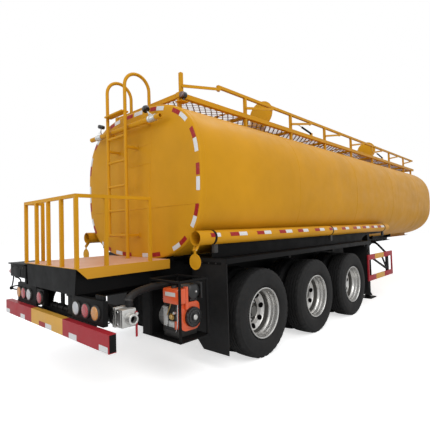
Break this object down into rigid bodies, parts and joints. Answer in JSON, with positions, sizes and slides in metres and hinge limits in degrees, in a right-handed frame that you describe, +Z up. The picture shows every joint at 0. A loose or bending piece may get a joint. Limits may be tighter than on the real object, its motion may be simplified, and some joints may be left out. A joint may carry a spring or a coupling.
{
  "type": "water tank semi-trailer",
  "caption": "Semi-trailer with a long rounded water tank, rear platform and ladder, roof walkway with a folding handrail, pump set, twin wheels and landing legs.",
  "frame": {"origin": "on the floor, below the middle of the trailer's length and width", "axes": "+X forward to the kingpin, +Y to the trailer's left, +Z up"},
  "size_m": [10.8, 2.49, 3.8607],
  "materials": {
    "yellow_paint": "semi-gloss golden yellow paint",
    "pale_yellow_plate": "worn pale yellow painted plate",
    "black_paint": "satin black paint",
    "tyre_rubber": "matt dark rubber",
    "red_paint": "red paint",
    "orange_cover": "glossy orange cover",
    "cast_metal": "bare cast metal"
  },
  "bodies": {
    "trailer": {"tank": "yellow_paint", "manhole_neck_1": "yellow_paint", "manhole_neck_2": "yellow_paint", "chassis_frame": "black_paint", "suspension_left": "black_paint", "suspension_right": "black_paint", "axle_1": "black_paint", "axle_2": "black_paint", "axle_3": "black_paint", "walkway_frame": "yellow_paint", "walkway_grating": "yellow_paint", "ladder": "yellow_paint", "spray_pipe": "yellow_paint", "platform_deck": "pale_yellow_plate", "rear_panel": "black_paint", "platform_guard_rail": "yellow_paint", "bumper": "red_paint", "lamp_box_left": "black_paint", "lamp_box_right": "black_paint", "hose_tube_left": "yellow_paint", "hose_tube_right": "yellow_paint", "fender_left": "black_paint", "fender_right": "black_paint", "side_guard_left": "red_paint", "side_guard_right": "red_paint", "landing_gear": "black_paint", "kingpin_plate": "yellow_paint", "pump_cage": "black_paint", "pump_engine": "orange_cover", "fuel_tank": "orange_cover", "water_pump": "cast_metal", "air_filter": "black_paint", "discharge_pipe": "black_paint", "valve_block": "cast_metal", "valve_lever": "red_paint", "pump_hose": "black_paint", "left_box": "black_paint"},
    "wheel_1_left": {"twin_wheel_1_left": "tyre_rubber"},
    "wheel_2_left": {"twin_wheel_2_left": "tyre_rubber"},
    "wheel_3_left": {"twin_wheel_3_left": "tyre_rubber"},
    "wheel_1_right": {"twin_wheel_1_right": "tyre_rubber"},
    "wheel_2_right": {"twin_wheel_2_right": "tyre_rubber"},
    "wheel_3_right": {"twin_wheel_3_right": "tyre_rubber"},
    "rear_lid": {"manhole_lid_1": "yellow_paint"},
    "front_lid": {"manhole_lid_2": "yellow_paint"},
    "left_cap": {"hose_tube_cap_left": "yellow_paint"},
    "right_cap": {"hose_tube_cap_right": "yellow_paint"},
    "arm_1": {"handrail_arm_1": "yellow_paint"},
    "arm_2": {"handrail_arm_2": "yellow_paint"},
    "arm_3": {"handrail_arm_3": "yellow_paint"},
    "arm_4": {"handrail_arm_4": "yellow_paint"},
    "arm_5": {"handrail_arm_5": "yellow_paint"},
    "arm_6": {"handrail_arm_6": "yellow_paint"},
    "arm_7": {"handrail_arm_7": "yellow_paint"},
    "arm_8": {"handrail_arm_8": "yellow_paint"},
    "top_rail": {"handrail_top_rail": "yellow_paint"},
    "barrel_1": {"rail_cylinder_barrel_1": "black_paint"},
    "barrel_2": {"rail_cylinder_barrel_2": "black_paint"},
    "rod_1": {"rail_cylinder_rod_1": "cast_metal"},
    "rod_2": {"rail_cylinder_rod_2": "cast_metal"}
  },
  "joints": [
    {"name": "wheel_1_left_spin", "type": "hinge", "parent": "trailer", "child": "wheel_1_left", "pos_m": [-3.29, 0.9225, 0.53039], "axis": [0, 1, 0], "continuous": true},
    {"name": "wheel_2_left_spin", "type": "hinge", "parent": "trailer", "child": "wheel_2_left", "pos_m": [-1.98, 0.9225, 0.53039], "axis": [0, 1, 0], "continuous": true},
    {"name": "wheel_3_left_spin", "type": "hinge", "parent": "trailer", "child": "wheel_3_left", "pos_m": [-0.67, 0.9225, 0.53039], "axis": [0, 1, 0], "continuous": true},
    {"name": "wheel_1_right_spin", "type": "hinge", "parent": "trailer", "child": "wheel_1_right", "pos_m": [-3.29, -0.9225, 0.53039], "axis": [0, 1, 0], "continuous": true},
    {"name": "wheel_2_right_spin", "type": "hinge", "parent": "trailer", "child": "wheel_2_right", "pos_m": [-1.98, -0.9225, 0.53039], "axis": [0, 1, 0], "continuous": true},
    {"name": "wheel_3_right_spin", "type": "hinge", "parent": "trailer", "child": "wheel_3_right", "pos_m": [-0.67, -0.9225, 0.53039], "axis": [0, 1, 0], "continuous": true},
    {"name": "rear_lid_close", "type": "hinge", "parent": "trailer", "child": "rear_lid", "pos_m": [-1.57, 0, 3.312], "axis": [0, -1, 0], "range_deg": [0, 97]},
    {"name": "front_lid_close", "type": "hinge", "parent": "trailer", "child": "front_lid", "pos_m": [3.43, 0, 3.312], "axis": [0, -1, 0], "range_deg": [0, 97]},
    {"name": "left_cap_close", "type": "hinge", "parent": "trailer", "child": "left_cap", "pos_m": [-4.363, 1.152, 1.359], "axis": [0, 1, 0], "range_deg": [0, 180]},
    {"name": "right_cap_close", "type": "hinge", "parent": "trailer", "child": "right_cap", "pos_m": [-4.363, -1.152, 1.359], "axis": [0, 1, 0], "range_deg": [0, 180]},
    {"name": "handrail_fold", "type": "hinge", "parent": "trailer", "child": "arm_1", "pos_m": [-4.06, -0.683, 3.273], "axis": [0, -1, 0], "range_deg": [0, 79]},
    {"name": "arm_2_turn", "type": "hinge", "parent": "trailer", "child": "arm_2", "pos_m": [-2.84, -0.683, 3.273], "axis": [0, -1, 0], "range_deg": [0, 79]},
    {"name": "arm_3_turn", "type": "hinge", "parent": "trailer", "child": "arm_3", "pos_m": [-1.62, -0.683, 3.273], "axis": [0, -1, 0], "range_deg": [0, 79]},
    {"name": "arm_4_turn", "type": "hinge", "parent": "trailer", "child": "arm_4", "pos_m": [-0.4, -0.683, 3.273], "axis": [0, -1, 0], "range_deg": [0, 79]},
    {"name": "arm_5_turn", "type": "hinge", "parent": "trailer", "child": "arm_5", "pos_m": [0.82, -0.683, 3.273], "axis": [0, -1, 0], "range_deg": [0, 79]},
    {"name": "arm_6_turn", "type": "hinge", "parent": "trailer", "child": "arm_6", "pos_m": [2.04, -0.683, 3.273], "axis": [0, -1, 0], "range_deg": [0, 79]},
    {"name": "arm_7_turn", "type": "hinge", "parent": "trailer", "child": "arm_7", "pos_m": [3.26, -0.683, 3.273], "axis": [0, -1, 0], "range_deg": [0, 79]},
    {"name": "arm_8_turn", "type": "hinge", "parent": "trailer", "child": "arm_8", "pos_m": [4.48, -0.683, 3.273], "axis": [0, -1, 0], "range_deg": [0, 79]},
    {"name": "top_rail_level", "type": "hinge", "parent": "arm_1", "child": "top_rail", "pos_m": [-3.40231, -0.683, 3.40084], "axis": [0, -1, 0], "range_deg": [-79, 0]},
    {"name": "barrel_1_turn", "type": "hinge", "parent": "trailer", "child": "barrel_1", "pos_m": [-0.92, -0.663, 3.235], "axis": [0, 1, 0], "range_deg": [0, 11.5]},
    {"name": "barrel_2_turn", "type": "hinge", "parent": "trailer", "child": "barrel_2", "pos_m": [2.74, -0.663, 3.235], "axis": [0, 1, 0], "range_deg": [0, 11.5]},
    {"name": "rod_1_slide", "type": "slide", "parent": "barrel_1", "child": "rod_1", "axis": [-0.9841, 0, 0.1776], "range_m": [0, 0.282]},
    {"name": "rod_2_slide", "type": "slide", "parent": "barrel_2", "child": "rod_2", "axis": [-0.9841, 0, 0.1776], "range_m": [0, 0.282]}
  ],
  "couplings": [
    {"joint": "arm_2_turn", "follows": "handrail_fold", "ratio": 1},
    {"joint": "arm_3_turn", "follows": "handrail_fold", "ratio": 1},
    {"joint": "arm_4_turn", "follows": "handrail_fold", "ratio": 1},
    {"joint": "arm_5_turn", "follows": "handrail_fold", "ratio": 1},
    {"joint": "arm_6_turn", "follows": "handrail_fold", "ratio": 1},
    {"joint": "arm_7_turn", "follows": "handrail_fold", "ratio": 1},
    {"joint": "arm_8_turn", "follows": "handrail_fold", "ratio": 1},
    {"joint": "top_rail_level", "follows": "handrail_fold", "ratio": -1},
    {"joint": "barrel_1_turn", "follows": "handrail_fold", "ratio": 0.1447},
    {"joint": "barrel_2_turn", "follows": "handrail_fold", "ratio": 0.1447},
    {"joint": "rod_1_slide", "follows": "handrail_fold", "m_per_rad": 0.204},
    {"joint": "rod_2_slide", "follows": "handrail_fold", "m_per_rad": 0.204}
  ]
}
